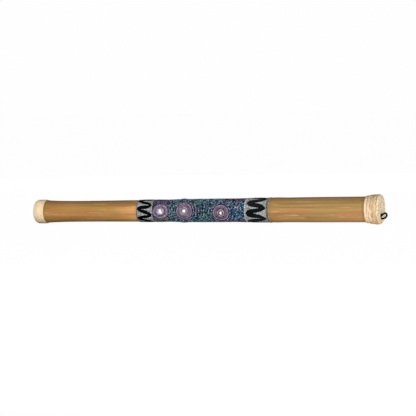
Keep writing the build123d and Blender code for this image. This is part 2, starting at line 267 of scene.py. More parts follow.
def make_studio():
    make_camera()
    make_world()
    make_floor()
    make_light("key", (0.1, -3.2, 0.42), (0, 0, 0), 2.6, 0.6, 88)
    make_light("side", (2.4, -0.9, 0.1), (0.45, 0, 0), 0.7, 0.4, 27)
    make_light("left", (-2.4, -0.7, 0.35), (-0.47, 0, 0), 0.7, 0.5, 9)
    make_light("back", (-0.3, 3.2, 0.35), (0, 0, 0), 2.6, 0.6, 60)
    bpy.context.scene.view_settings.view_transform = "Standard"


# ---------------------------------------------------------------- shapes


def culm_radius(x):
    """Outside radius of the bamboo at x."""
    past_cap = np.maximum(x - FLARE_START, 0)
    flare = LEFT_FLARE * np.exp(-past_cap / LEFT_FLARE_LENGTH)
    swollen = sum(height * np.exp(-(((x - place) / width) ** 2)) for place, height, width in SWELLINGS)
    return MIDDLE_RADIUS + TAPER * x + flare + swollen


def round_tube(x, radius, below):
    """Points at a radius round the axis, `below` degrees under the middle of the front."""
    x, radius, turn = np.broadcast_arrays(x, radius, np.radians(below))
    return np.stack([x, -radius * np.cos(turn), -radius * np.sin(turn)], axis=-1)


def on_tube(x, below, height):
    return round_tube(x, culm_radius(x) + height, below)


def outwards(below):
    turn = np.radians(below)
    return np.stack([np.zeros_like(turn), -np.cos(turn), -np.sin(turn)], axis=-1)


def unit(vectors):
    return vectors / np.maximum(np.linalg.norm(vectors, axis=-1, keepdims=True), 1e-12)


def leaning(lean, below, side=1):
    """Directions between straight outwards, at no lean, and along the axis to that side, at a right angle."""
    lean = np.asarray(lean)[..., None]
    return np.sin(lean) * np.array([side, 0.0, 0.0]) + np.cos(lean) * outwards(np.asarray(below))


def run_lengths(line):
    """Distance along a line from its first point to each of its points."""
    return np.concatenate([[0], np.cumsum(np.linalg.norm(np.diff(line, axis=0), axis=1))])


def ripple(degrees, *parts):
    """A sum of sine waves round the axis; each part is a height, a number of waves and a phase."""
    turn = np.radians(degrees)
    return sum(height * np.sin(turn * count + phase) for height, count, phase in parts)


def waves(points, size, seed, count=12):
    """A smooth random field over the points, mostly between -1 and 1, with bumps of that size."""
    chance = np.random.default_rng(seed)
    directions = unit(chance.normal(size=(count, 3))) * chance.uniform(0.7, 1.4, (count, 1)) * math.pi / size
    phases = chance.uniform(0, 2 * math.pi, count)
    return np.sin(points @ directions.T + phases).sum(axis=-1) * 1.4 / math.sqrt(count)


def grid_faces(rows, columns, wrap_rows=False, flip=False):
    """Quads between the neighbours of a grid whose columns close on themselves."""
    i = np.arange(rows if wrap_rows else rows - 1)[:, None]
    j = np.arange(columns)[None, :]
    next_row, next_column = (i + 1) % rows, (j + 1) % columns
    corners = (
        i * columns + j,
        next_row * columns + j,
        next_row * columns + next_column,
        i * columns + next_column,
    )
    quads = np.stack(np.broadcast_arrays(*corners), axis=-1).reshape(-1, 4)
    return quads[:, ::-1] if flip else quads


def fan(centre, ring, flip=False):
    """Triangles from a centre point to a closed ring of points."""
    after = np.roll(ring, -1)
    pair = (after, ring) if flip else (ring, after)
    return np.stack([np.full_like(ring, centre), *pair], axis=-1)


class Shape:
    """The points and faces of one piece, with the tone and grain that its material reads."""

    def __init__(self):
        self.points, self.faces, self.tones, self.grains = [], [], [], []
        self.count = 0

    def add(self, points, faces, tone=0.5, grain=(0, 0, 0)):
        points = points.reshape(-1, 3)
        self.points.append(points)
        self.faces += [block + self.count for block in faces]
        self.tones.append(np.broadcast_to(tone, len(points)))
        self.grains.append(np.broadcast_to(grain, (len(points), 3)))
        self.count += len(points)

    def make(self, name, material, body="stick", replaced=(), slot=None):
        """The finished object, riding on its body."""
        mesh = bpy.data.meshes.new(name)
        faces = [face for block in self.faces for face in block.tolist()]
        mesh.from_pydata(np.concatenate(self.points) * MM, [], faces)
        mesh.shade_smooth()
        tone = mesh.attributes.new("tone", "FLOAT", "POINT")
        tone.data.foreach_set("value", np.concatenate(self.tones).astype(np.float32))
        grain = mesh.attributes.new("grain", "FLOAT_VECTOR", "POINT")
        grain.data.foreach_set("vector", np.concatenate(self.grains).astype(np.float32).ravel())
        mesh.materials.append(material)
        obj = bpy.data.objects.new(name, mesh)
        bpy.context.scene.collection.objects.link(obj)
        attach(obj, body)
        if replaced:
            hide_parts(*replaced)
        return obj


def lathe(shape, outline, columns, relief=None, tone=0.5, tips=False):
    """Spins rows of (x, radius) round the axis; the outline closes on itself, or both its ends get a tip."""
    outline = np.array(outline, float)
    x, radius = outline[:, :1], outline[:, 1:]
    below = np.linspace(0, 360, columns, endpoint=False)[None, :]
    points = round_tube(x, radius, below)
    if relief is not None:
        points = points + relief(points)
    rows = len(outline)
    along = run_lengths(outline)[:, None]
    grain = np.stack(np.broadcast_arrays(along, radius * np.radians(below), 0.0), axis=-1).reshape(-1, 3)
    faces = [grid_faces(rows, columns, wrap_rows=not tips, flip=True)]
    flat = points.reshape(-1, 3)
    if tips:
        ring = np.arange(columns)
        last = (rows - 1) * columns
        faces += [fan(rows * columns, ring, flip=True), fan(rows * columns + 1, last + ring)]
        ends = np.array([flat[:columns].mean(axis=0), flat[-columns:].mean(axis=0)])
        flat = np.concatenate([flat, ends])
        grain = np.concatenate([grain, grain[[0, -1]]])
    shape.add(flat, faces, tone(flat) if callable(tone) else tone, grain)


def sweep(shape, path, outward, width, height, tone=0.5, mark=0.0, sides=8, closed=False, square=0.85):
    """A strand along a path, with an oval section `width` across and `height` thick."""
    count = len(path)
    if closed:
        tangent = unit(np.roll(path, -1, axis=0) - np.roll(path, 1, axis=0))
    else:
        tangent = unit(np.gradient(path, axis=0))
    along = run_lengths(path)[:, None]
    across = unit(np.cross(tangent, outward))
    up = np.cross(across, tangent)
    turn = np.linspace(0, 2 * math.pi, sides, endpoint=False)
    c, s = np.cos(turn), np.sin(turn)
    side = np.sign(c) * np.abs(c) ** square * np.broadcast_to(width, count)[:, None] / 2
    rise = np.sign(s) * np.abs(s) ** square * np.broadcast_to(height, count)[:, None] / 2
    points = path[:, None] + across[:, None] * side[..., None] + up[:, None] * rise[..., None]
    grain = np.stack(np.broadcast_arrays(along, side, mark), axis=-1).reshape(-1, 3)
    tones = np.broadcast_to(np.broadcast_to(tone, count)[:, None], (count, sides)).ravel()
    faces = [grid_faces(count, sides, wrap_rows=closed)]
    flat = points.reshape(-1, 3)
    if not closed:
        ring = np.arange(sides)
        last = (count - 1) * sides
        faces += [fan(count * sides, ring), fan(count * sides + 1, last + ring, flip=True)]
        flat = np.concatenate([flat, path[[0, -1]]])
        grain = np.concatenate([grain, grain[[0, -1]]])
        tones = np.concatenate([tones, tones[[0, -1]]])
    shape.add(flat, faces, tones, grain)


def dots(shape, centres, outward, radius, height, tone, sides=8):
    """Low round domes standing on the centres; radius, height and tone may differ from dot to dot."""
    count = len(centres)
    along = unit(np.cross(np.roll(outward, 1, axis=1) + 0.3, outward))
    beside = np.cross(outward, along)
    radius = np.broadcast_to(radius, count)[:, None, None]
    height = np.broadcast_to(height, count)[:, None, None]
    turn = np.linspace(0, 2 * math.pi, sides, endpoint=False)
    ring = along[:, None] * np.cos(turn)[None, :, None] + beside[:, None] * np.sin(turn)[None, :, None]
    base = centres[:, None] + ring * radius - outward[:, None] * height * 0.25
    shoulder = centres[:, None] + ring * radius * 0.76 + outward[:, None] * height * 0.62
    top = centres[:, None] + outward[:, None] * height
    points = np.concatenate([base, shoulder, top], axis=1)
    per_dot = 2 * sides + 1
    start = (np.arange(count) * per_dot)[:, None, None]
    j = np.arange(sides)
    k = (j + 1) % sides
    quads = np.stack([j, k, k + sides, j + sides], axis=-1)[None] + start
    tops = np.stack([j + sides, k + sides, np.full(sides, 2 * sides)], axis=-1)[None] + start
    bases = j[::-1][None] + start[:, 0]
    faces = [quads.reshape(-1, 4), tops.reshape(-1, 3), bases]
    tones = np.repeat(np.broadcast_to(tone, count), per_dot)
    marks = np.repeat(np.arange(count) * 0.37, per_dot)
    grain = np.stack([points.reshape(-1, 3)[:, 0], points.reshape(-1, 3)[:, 2], marks], axis=-1)
    shape.add(points, faces, tones, grain)


# ---------------------------------------------------------------- materials


class Finish(Nodes):
    """A material being put together."""

    def __init__(self, name, roughness=0.5, coat=0.0, specular=0.5):
        self.material = bpy.data.materials.new(name)
        self.material.use_nodes = True
        super().__init__(self.material.node_tree)
        self.shader = self.tree.nodes["Principled BSDF"]
        self.feed(self.shader, {"Roughness": roughness, "Coat Weight": coat, "Specular IOR Level": specular})

    def place(self, stretch=(1, 1, 1)):
        """Place in the object in metres, multiplied by the stretch along X, Y and Z."""
        return self.scaled(self.node("ShaderNodeTexCoord").outputs["Object"], stretch)

    def grain(self, stretch):
        """Millimetres along and across the strand, and the strand's number, multiplied by the stretch."""
        return self.scaled(self.attribute("grain", "Vector"), stretch)

    def scaled(self, source, stretch):
        return self.node("ShaderNodeVectorMath", {0: source, 1: stretch}, operation="MULTIPLY").outputs[0]

    def tone(self):
        return self.attribute("tone", "Fac")

    def attribute(self, name, output):
        return self.node("ShaderNodeAttribute", attribute_name=name).outputs[output]

    def noise(self, vector, scale=1.0, detail=3.0, roughness=0.55):
        inputs = {"Vector": vector, "Scale": scale, "Detail": detail, "Roughness": roughness}
        return self.node("ShaderNodeTexNoise", inputs).outputs["Fac"]

    def ramp(self, factor, *stops):
        """Colours by factor: stops are (place, red, green, blue), the colours as screen values."""
        ramp = self.node("ShaderNodeValToRGB", {0: factor})
        elements = ramp.color_ramp.elements
        while len(elements) < len(stops):
            elements.new(0.5)
        for element, (place, *colour) in zip(elements, stops):
            element.position = place
            element.color = srgb(*colour)
        return ramp.outputs["Color"]

    def mix(self, factor, first, second):
        return self.node("ShaderNodeMix", {0: factor, 6: first, 7: second}, data_type="RGBA").outputs[2]

    def add(self, first, second):
        return self.node("ShaderNodeMath", {0: first, 1: second}, operation="ADD").outputs[0]

    def times(self, first, second):
        return self.node("ShaderNodeMath", {0: first, 1: second}, operation="MULTIPLY").outputs[0]

    def shared(self, part, first, second):
        """That part of the first value and the rest of the second."""
        return self.add(self.times(first, part), self.times(second, 1 - part))

    def bump(self, height, distance, strength):
        bump = self.node("ShaderNodeBump", {"Height": height, "Distance": distance, "Strength": strength})
        self.feed(self.shader, {"Normal": bump.outputs["Normal"]})

    def colour(self, output):
        self.feed(self.shader, {"Base Color": output})

    def rough(self, output):
        self.feed(self.shader, {"Roughness": output})


def bamboo_finish():
    """Varnished culm skin: long fibres, broad streaks and a change of hue from end to end."""
    f = Finish("bamboo_skin", coat=0.03, specular=0.2)
    streaks = f.noise(f.place((3.5, 140, 140)))
    both = f.shared(0.35, f.noise(f.place((5, 620, 620)), detail=2.0), streaks)
    along, _, up = f.node("ShaderNodeSeparateXYZ", {0: f.place()}).outputs
    left = ((0.32, 146, 97, 48), (0.46, 184, 134, 76), (0.58, 197, 148, 88), (0.70, 222, 175, 116))
    right = ((0.32, 134, 100, 58), (0.46, 169, 134, 84), (0.58, 183, 148, 100), (0.70, 207, 174, 128))
    skin = f.mix(f.spread(along, -0.1, 0.3), f.ramp(both, *left), f.ramp(both, *right))
    # darker beside the left cap, and a painted amber highlight beside the painted band
    skin = f.mix(f.spread(along, -0.47, -0.40, 0.3, 0.0), skin, srgb(132, 98, 50))
    # painted highlight: a band of the skin left of the painted band is pulled towards bright amber
    amber = f.times(f.spread(along, -0.25, -0.2), f.spread(along, -0.1, -0.05, 1.0, 0.0))
    skin = f.mix(f.times(amber, f.spread(streaks, 0.35, 0.6, 0.05, 0.58)), skin, srgb(238, 176, 112))
    # olive and rosy patches, painted shade darkening the top (more towards the left) and pale scuffs
    patches = f.noise(f.place((7, 26, 26)))
    skin = f.mix(f.spread(patches, 0.42, 0.66, 0.0, 0.5), skin, srgb(160, 132, 70))
    blushes = f.noise(f.place((6, 60, 60)), 1.3, 2.0)
    skin = f.mix(f.spread(blushes, 0.5, 0.68, 0.0, 0.55), skin, srgb(186, 124, 80))
    # painted shade: the upper side of the tube is mixed towards dark brown
    painted_top_shade = f.times(f.spread(up, 0.010, 0.028), f.spread(along, -0.1, 0.45, 0.5, 0.25))
    skin = f.mix(painted_top_shade, skin, srgb(110, 86, 46))
    scuffs = f.noise(f.place((16, 210, 210)), detail=2.0)
    skin = f.mix(f.spread(scuffs, 0.62, 0.72, 0.0, 0.5), skin, srgb(236, 196, 140))
    # the tone attribute pulls the skin towards dark brown: painted shade next to the caps and the band's
    # right edge
    f.colour(f.mix(f.tone(), srgb(96, 62, 30), skin))
    f.rough(f.spread(streaks, 0.3, 0.7, 0.38, 0.55))
    f.bump(both, 0.0003, 0.5)
    return f.material


def sand_finish(name, grain_size, bump, *stops):
    """A coat of coloured sand: grains of mixed brightness standing out of the binder."""
    f = Finish(name, roughness=0.85, specular=0.25)
    place = f.place((1000, 1000, 1000))
    grains = f.node("ShaderNodeTexVoronoi", {"Vector": place, "Scale": 1.0 / grain_size})
    each = f.node("ShaderNodeSeparateColor", {0: grains.outputs["Color"]}).outputs[0]
    both = f.shared(0.35, each, f.noise(place, 0.2, 4.0, 0.7))
    f.colour(f.mix(f.tone(), srgb(14, 15, 18), f.ramp(both, *stops)))
    f.bump(grains.outputs["Distance"], -0.0001 * bump, 0.8)
    return f.material


def paint_finish(name, stops, roughness=0.6, specular=0.3):
    """Hand-laid paint: the colour of each dot or stroke comes from its tone, with fine mottling."""
    f = Finish(f"paint_{name}", roughness=roughness, specular=specular)
    place = f.place((1000, 1000, 1000))
    shade = f.add(f.tone(), f.spread(f.noise(place, 0.9), 0.3, 0.7, -0.12, 0.12))
    f.colour(f.ramp(shade, *stops))
    f.bump(f.noise(place, 2.2, 2.0), 0.00015, 0.6)
    return f.material


def cane_finish(name, *stops):
    """Split cane: fibres along the strand, broad stains, and a tone of its own for each strand."""
    f = Finish(name, specular=0.35)
    fibres = f.noise(f.grain((0.12, 3.2, 7.3)))
    flecks = f.noise(f.grain((0.5, 1.4, 3.1)), detail=2.0)
    stains = f.noise(f.place((150, 150, 150)), detail=2.0)
    shade = f.add(f.tone(), f.spread(fibres, 0.3, 0.7, -0.22, 0.22))
    shade = f.add(shade, f.spread(flecks, 0.3, 0.7, -0.1, 0.1))
    shade = f.add(shade, f.spread(stains, 0.35, 0.65, -0.1, 0.12))
    f.colour(f.ramp(shade, *stops))
    f.rough(f.spread(fibres, 0.3, 0.7, 0.42, 0.62))
    f.bump(fibres, 0.00025, 0.7)
    return f.material


def cord_finish():
    """Waxed black cord with a fine twist in each ply."""
    f = Finish("waxed_cord", roughness=0.55, specular=0.2)
    fibres = f.noise(f.grain((1.4, 5.0, 2.0)), detail=2.0)
    f.colour(f.ramp(fibres, (0.3, 2, 2, 2), (0.6, 7, 6, 5), (0.8, 20, 16, 14)))
    f.bump(fibres, 0.0002, 0.6)
    return f.material


def wood_finish():
    """Turned softwood: growth rings round a centre off to one side."""
    f = Finish("end_disc_wood", roughness=0.62, specular=0.3)
    shifted = f.node("ShaderNodeVectorMath", {0: f.place(), 1: (0, 0.012, 0.03)}, operation="ADD").outputs[0]
    inputs = {"Vector": shifted, "Scale": 62, "Distortion": 2.5}
    rings = f.node("ShaderNodeTexWave", inputs, wave_type="RINGS", rings_direction="X").outputs["Fac"]
    both = f.shared(0.6, rings, f.noise(f.place((60, 900, 900)), detail=2.0))
    f.colour(f.ramp(both, (0.2, 150, 112, 70), (0.8, 214, 184, 136)))
    f.bump(both, 0.0002, 0.5)
    return f.material


def seed_finish():
    """Brown speckled seed coats, lighter or darker from seed to seed."""
    f = Finish("seed_coat", roughness=0.55, specular=0.35)
    speckle = f.noise(f.place((900, 900, 900)))
    shade = f.add(f.tone(), f.spread(speckle, 0.3, 0.7, -0.25, 0.25))
    f.colour(f.ramp(shade, (0.1, 70, 42, 22), (0.5, 128, 82, 44), (0.9, 176, 130, 84)))
    f.bump(speckle, 0.0001, 0.5)
    return f.material


# ---------------------------------------------------------------- the cord


def route_line(name, points):
    """The points that a smooth line through the route has, close together, in millimetres."""
    curve = bpy.data.curves.new(name, "CURVE")
    curve.dimensions = "3D"
    curve.resolution_u = 24
    spline = curve.splines.new("NURBS")
    spline.points.add(len(points) - 1)
    for point, place in zip(spline.points, points):
        point.co = (*place, 1.0)
    spline.order_u = 3
    spline.use_endpoint_u = True
    holder = bpy.data.objects.new(name, curve)
    bpy.context.scene.collection.objects.link(holder)
    mesh = bpy.data.meshes.new_from_object(holder)
    line = np.array([vertex.co for vertex in mesh.vertices], float)
    bpy.data.objects.remove(holder)
    bpy.data.meshes.remove(mesh)
    return line / MM


def carried(tangents, start):
    """A cross direction for each tangent, carried along the line without twisting."""
    across = [unit(np.cross(np.cross(tangents[0], start), tangents[0]))]
    for tangent in tangents[1:]:
        last = across[-1]
        across.append(unit(last - tangent * (last @ tangent)))
    return np.array(across)


def twisted_plies(shape, line, radius, pitch):
    """Three plies twisted round a line, which together are as thick as the cord."""
    tangents = unit(np.gradient(line, axis=0))
    across = carried(tangents, np.array([0.2, 1.0, 0.3]))
    beside = np.cross(tangents, across)
    along = run_lengths(line)
    ply = radius * 0.68
    for number in range(3):
        turn = (2 * math.pi * (along / pitch + number / 3))[:, None]
        away = across * np.cos(turn) + beside * np.sin(turn)
        centres = line + away * (radius - ply)
        sweep(shape, centres, away, 2 * ply, 2 * ply, mark=number * 1.7, sides=12, square=1.0)


def resampled(line, step):
    """The line's points again, evenly spaced."""
    along = run_lengths(line)
    places = np.linspace(0, along[-1], max(int(along[-1] / step), 8))
    return np.stack([np.interp(places, along, line[:, k]) for k in range(3)], axis=-1)


def make_loop(cord):
    """The hanging loop: its mesh follows the smooth route between its two sockets."""
    line = route_line("loop_route", LOOP_ROUTE)
    shape = Shape()
    twisted_plies(shape, resampled(line, 0.5), CORD_DIAMETER / MM / 2, 10.0)
    loop = shape.make("twisted_loop", cord, body="loop", replaced=["hanging_loop"], slot="cord")


def make_knot(cord):
    """An overhand knot where the cord's ends are tied behind the cover."""
    t = np.linspace(0, 2 * math.pi, 72, endpoint=False)
    trefoil = [-np.sin(3 * t), np.sin(t) + 2 * np.sin(2 * t), np.cos(t) - 2 * np.cos(2 * t)]
    path = np.array([487.0, -4.0, -12.0]) + np.stack(trefoil, axis=-1) * np.array([1.3, 1.05, 1.05])
    shape = Shape()
    sweep(shape, path, path - path.mean(axis=0) + 0.01, 2.6, 2.6, sides=10, closed=True, square=1.0)
    shape.make("overhand_knot", cord, replaced=["loop_knot"], slot="cord")


# ---------------------------------------------------------------- bamboo


def stepped(*spans):
    """Numbers counted off over spans of (start, stop, step), one after the other, and the last stop."""
    return np.concatenate([np.arange(*span) for span in spans] + [[spans[-1][1]]])


def raised(points, height):
    """Shifts by that height straight away from the axis."""
    return unit(points * np.array([0, 1, 1])) * height[..., None]


def clear_of_band(x):
    return (x < BAND_LEFT - 2) | (x > BAND_RIGHT + 2)


def make_culm(bamboo):
    """The bamboo: a closed wall with its bore, a knocked-out diaphragm and slightly uneven skin."""
    outer = stepped((TUBE_LEFT, -78, 5.0), (-78, -36, 2.0), (-36, TUBE_RIGHT, 5.0))
    inner = stepped((TUBE_RIGHT, -40, -24.0), (-48, -68, -2.0), (-72, TUBE_LEFT, -24.0))
    bore = BORE_RADIUS - np.exp(-(((inner - NODE_X) / 3) ** 2))
    outline = list(zip(outer, culm_radius(outer))) + list(zip(inner, bore))

    def relief(points):
        x = points[..., 0]
        skin = np.linalg.norm(points[..., 1:], axis=-1) > BORE_RADIUS + 1.5
        bare = (x > LEFT_CAP_EDGE + 4) & (x < RIGHT_CAP_EDGE - 4) & clear_of_band(x)
        slow = waves(points * np.array([0.16, 1, 1]), 22, 3) * 0.10
        fine = waves(points * np.array([0.02, 1, 1]), 3.2, 5) * 0.03
        return raised(points, np.where(skin & bare, slow + fine, 0.0))

    # painted shade: the tone drops within a few millimetres of the left cap, the band's right edge and the
    # right cap
    def painted_joint_shade(points):
        x = points[:, 0]
        edges = np.stack([np.abs(x - place) for place in (LEFT_CAP_EDGE, BAND_RIGHT, RIGHT_CAP_EDGE)])
        return 1.0 - 0.4 * np.exp(-edges.min(axis=0) / 2.5)

    shape = Shape()
    lathe(shape, outline, 144, relief, painted_joint_shade)
    shape.make("bamboo_culm", bamboo, replaced=["bamboo_tube"], slot="bamboo")


def make_peg_heads(skewer):
    """The sanded heads of the pegs, where the bamboo is bare."""
    number = np.arange(PEG_COUNT)
    x = PEG_PITCH * (number - (PEG_COUNT - 1) / 2)
    below = 360.0 / PEGS_PER_TURN * ((number + 3) % PEGS_PER_TURN + 0.5) - 180.0
    bare = clear_of_band(x)
    x, below = x[bare], below[bare]
    tone = np.random.default_rng(8).uniform(0.3, 0.8, len(x))
    shape = Shape()
    dots(shape, on_tube(x, below, 0.02), outwards(below), PEG_RADIUS * 1.02, 0.14, tone, sides=12)
    shape.make("peg_heads", skewer, slot="peg")


# ---------------------------------------------------------------- painted band


def band_steps(start, end):
    """Places from one edge of a coat to the other, about 1.6 mm apart."""
    return np.linspace(start, end, max(int(abs(end - start) / 1.6), 3))


def make_coat(name, node, start, end, sand, slot, lump):
    """A lumpy sleeve of sand on the bamboo."""
    outer = band_steps(start, end - 0.05)
    inner = band_steps(end - 0.05, start)[::4]
    outline = list(zip(outer, culm_radius(outer) + COAT)) + list(zip(inner, culm_radius(inner) + 0.05))

    def relief(points):
        outside = np.linalg.norm(points[..., 1:], axis=-1) > culm_radius(points[..., 0]) + COAT / 2
        lumps = waves(points, 3.4, 11) * lump + waves(points, 9.0, 12) * lump * 0.7
        return raised(points, np.where(outside, lumps, 0.0))

    shape = Shape()
    lathe(shape, outline, 160, relief, tone=1.0)
    shape.make(name, sand, replaced=[node], slot=slot)


def flat_gap(x, below, other_x, other_below):
    """Distance over the band's surface, laid out flat."""
    arc = BAND_ARC * np.radians((below - other_below + 180) % 360 - 180)
    return np.hypot(x - other_x, arc)


def ring_places(centre, radius, pitch, phase):
    """Evenly spaced places on a circle that is drawn on the band's surface."""
    count = max(int(round(2 * math.pi * radius / pitch)), 3)
    turn = 2 * math.pi * (np.arange(count) + phase) / count
    x = centre[0] + radius * np.cos(turn)
    below = centre[1] + np.degrees(radius * np.sin(turn) / BAND_ARC)
    return x, below, np.degrees(turn)


def field_places():
    """Every dot of the field: place, degrees below the front and the ring it belongs to."""
    found = []
    for number, centre in enumerate(ROSETTES):
        for ring in range(1, 28):
            x, below, _ = ring_places(centre, ROSETTE_RADIUS + 0.4 + DOT_PITCH * ring, DOT_PITCH, ring * 0.5)
            nearest = np.argmin([flat_gap(x, below, *other) for other in ROSETTES], axis=0)
            keep = (nearest == number) & (np.abs(below - centre[1]) < 180)
            keep &= (x > FIELD_LEFT + 1.7) & (x < FIELD_RIGHT - 1.2)
            found.append(np.stack([x, below, np.full(len(x), ring)], axis=-1)[keep])
    return np.concatenate(found)


def field_palette(x, below, ring):
    """Which paint each dot of the field has, by name: drifts and patches of colour over the band."""
    chance = np.random.default_rng(21)
    flat = np.stack([x, BAND_ARC * np.radians(below), np.zeros(len(x))], axis=-1)
    drift = waves(flat, 26, 31) + chance.normal(0, 0.35, len(x))
    front = (below + 180) % 360 - 180
    teal = (drift > 0.55) | ((x > -96) & (x < -66) & (np.abs(front) < 40))
    blue = x > 84 + 10 * waves(flat, 30, 33)
    # partly a painted highlight: pale dots fill a round patch on the upper front near x = 106 mm; the others
    # are scattered at random
    pale = (flat_gap(x, front, 106.0, -20.0) < 10) | (chance.uniform(size=len(x)) < 0.04)
    lilac = (ring <= 1) | (waves(flat, 20, 35) + chance.normal(0, 0.3, len(x)) > 1.5)
    left = (x < -93) & (np.abs(front) < 100)
    # painted shade: on the right of the field, dots from 52 to 90 degrees above and below the front turn dark
    # violet
    painted_edge_shade = (x > 60) & (np.abs(front) > 52) & (np.abs(front) < 90)
    names = np.where(blue, "blue", np.where(teal, "teal", "steel"))
    names = np.where(pale, "pale", names)
    names = np.where(lilac, "lilac", names)
    names = np.where(left, np.where(front < -6, "violet", "stone"), names)
    return np.where(painted_edge_shade, "violet", names)


def make_field_dots(paints):
    """The field's dots, uneven as dots laid by hand are, in rings that are lighter and darker by turns."""
    x, below, ring = field_places().T
    names = field_palette(x, below, ring)
    count = len(x)
    chance = np.random.default_rng(22)
    x = x + chance.normal(0, 0.16, count)
    below = below + chance.normal(0, 0.3, count)
    radius = 0.40 * DOT_PITCH * chance.uniform(0.75, 1.16, count)
    tone = np.clip(0.56 + 0.12 * ((ring % 2) * 2 - 1) + chance.normal(0, 0.32, count), 0.0, 1.0)
    for name in sorted(set(names)):
        own = names == name
        shape = Shape()
        dots(shape, on_tube(x[own], below[own], COAT), outwards(below[own]), radius[own], 0.5, tone[own])
        shape.make(f"field_dots_{name}", paints[name])


def add_button(shape, rings, ends, tone):
    """Rings of points, one inside the other, with a point closing the first and the last of them."""
    count, columns = rings.shape[:2]
    ring = np.arange(columns)
    faces = [
        grid_faces(count, columns),
        fan(count * columns, ring),
        fan(count * columns + 1, (count - 1) * columns + ring, flip=True),
    ]
    points = np.concatenate([rings.reshape(-1, 3), ends])
    shape.add(points, faces, tone(points))


def patch(shape, centre, radius, height, rings=7, columns=48):
    """A thin round patch on the band, its edge sunk in the coat."""
    reach = np.linspace(0.12, 1.0, rings)[:, None] * radius
    turn = np.linspace(0, 2 * math.pi, columns, endpoint=False)
    x = centre[0] + reach * np.cos(turn)
    below = centre[1] + np.degrees(reach * np.sin(turn) / BAND_ARC)
    level = np.where(reach < radius * 0.99, COAT + height, COAT - 0.3)
    top = on_tube(x, below, level)
    under = on_tube(x[-1], below[-1], COAT - 0.35)
    ends = on_tube(*centre, np.array([COAT + height, COAT - 0.35]))
    layers = np.concatenate([top, under[None]])
    add_button(shape, layers, ends, lambda points: 0.5 + 0.3 * waves(points, 5, 41))


# radius, dot radius, paint and tone of each ring of dots, from the middle outwards
ROSETTE_STYLES = (
    (
        (7.2, 1.45, "blush", 0.75),
        (10.0, 1.4, "blush", 0.45),
        (13.0, 1.2, "mauve", 0.12),
        (16.2, 1.3, "mauve", 0.5),
        (19.3, 1.3, "lilac", 0.85),
        (22.3, 1.2, "mauve", 0.3),
    ),
    (
        (6.4, 1.3, "taupe", 0.8),
        (9.2, 1.35, "blush", 0.55),
        (12.2, 1.3, "mauve", 0.5),
        (15.2, 1.35, "rose", 0.45),
        (18.2, 1.2, "mauve", 0.25),
        (21.2, 1.35, "lilac", 1.0),
    ),
    (
        (6.0, 1.25, "taupe", 0.35),
        (8.8, 1.35, "blush", 0.5),
        (11.9, 1.2, "mauve", 0.1),
        (15.0, 1.35, "rose", 0.35),
        (18.0, 1.2, "mauve", 0.3),
        (21.2, 1.35, "lilac", 0.85),
    ),
)
# half width, half height and lean of each core
CORE_SIZES = ((4.8, 8.4, -24.0), (4.8, 5.6, 8.0), (3.3, 5.8, 6.0))


def make_rosettes(paints):
    """Rings of dots round a raised core, on a plum ground."""
    ground, cores = Shape(), Shape()
    rings = {}
    chance = np.random.default_rng(51)
    for number, centre in enumerate(ROSETTES):
        patch(ground, centre, ROSETTE_RADIUS + 1.5, 0.12)
        for order, (radius, size, paint, tone) in enumerate(ROSETTE_STYLES[number % 3]):
            x, below, turn = ring_places(centre, radius, size * 2.18, order * 0.4)
            count = len(x)
            x = x + chance.normal(0, 0.15, count)
            below = below + chance.normal(0, 0.25, count)
            sizes = size * chance.uniform(0.85, 1.1, count)
            swing = ripple(turn, (0.16, 1 + order % 2, order * 1.9 + number))
            tones = np.clip(tone + 0.1 + swing + chance.normal(0, 0.12, count), 0.0, 1.0)
            shape = rings.setdefault(paint, Shape())
            dots(shape, on_tube(x, below, COAT + 0.1), outwards(below), sizes, 0.5, tones)
        make_core(cores, centre, CORE_SIZES[number % 3], chance)
    ground.make("rosette_grounds", paints["plum"], slot="mauve_paint")
    cores.make("rosette_centres", paints["white"], replaced=["rosette_cores"], slot="white_paint")
    for paint, shape in sorted(rings.items()):
        replaced = ["rosette_rings"] if paint == min(rings) else ()
        shape.make(f"rosette_dots_{paint}", paints[paint], replaced=replaced, slot="mauve_paint")


def make_core(shape, centre, size, chance):
    """An uneven blob of white in the middle of a rosette."""
    rings, columns = 6, 28
    reach = np.linspace(0.15, 1.0, rings)[:, None]
    turn = np.linspace(0, 2 * math.pi, columns, endpoint=False)
    phases = chance.uniform(*PHASES, 3)
    wobble = 1 + ripple(np.degrees(turn), (0.10, 2, phases[0]), (0.08, 3, phases[1]), (0.05, 5, phases[2]))
    lean = math.radians(size[2])
    across = size[0] * reach * np.cos(turn) * wobble
    down = size[1] * reach * np.sin(turn) * wobble
    x = centre[0] + across * math.cos(lean) - down * math.sin(lean)
    below = centre[1] + np.degrees((across * math.sin(lean) + down * math.cos(lean)) / BAND_ARC)
    level = COAT + 0.15 + 0.75 * np.sqrt(np.maximum(1 - reach**2, 0)) - 0.35 * (reach > 0.99)
    ends = on_tube(*centre, np.array([COAT + 0.9, COAT - 0.2]))
    tones = np.append(np.repeat(0.9 - 0.75 * reach[:, 0] ** 2, columns), [0.9, 0.9])
    add_button(shape, on_tube(x, below, level), ends, lambda points: tones)


def zigzag_line(limits, turn, count):
    """A serpentine round the tube from one edge of its zone to the other, seven times."""
    left, right = limits
    t = np.linspace(0, 2 * ZIGZAG_TEETH, count, endpoint=False)
    triangle = 1 - 2 * np.abs((t / 2 % 1) * 2 - 1)
    swing = 0.6 * -np.cos(math.pi * t) + 0.4 * triangle
    x = (left + right) / 2 + (right - left) / 2 * swing
    below = turn + HALF_TOOTH * (t + 0.05 * np.sin(2 * math.pi * t))
    return t, x, below


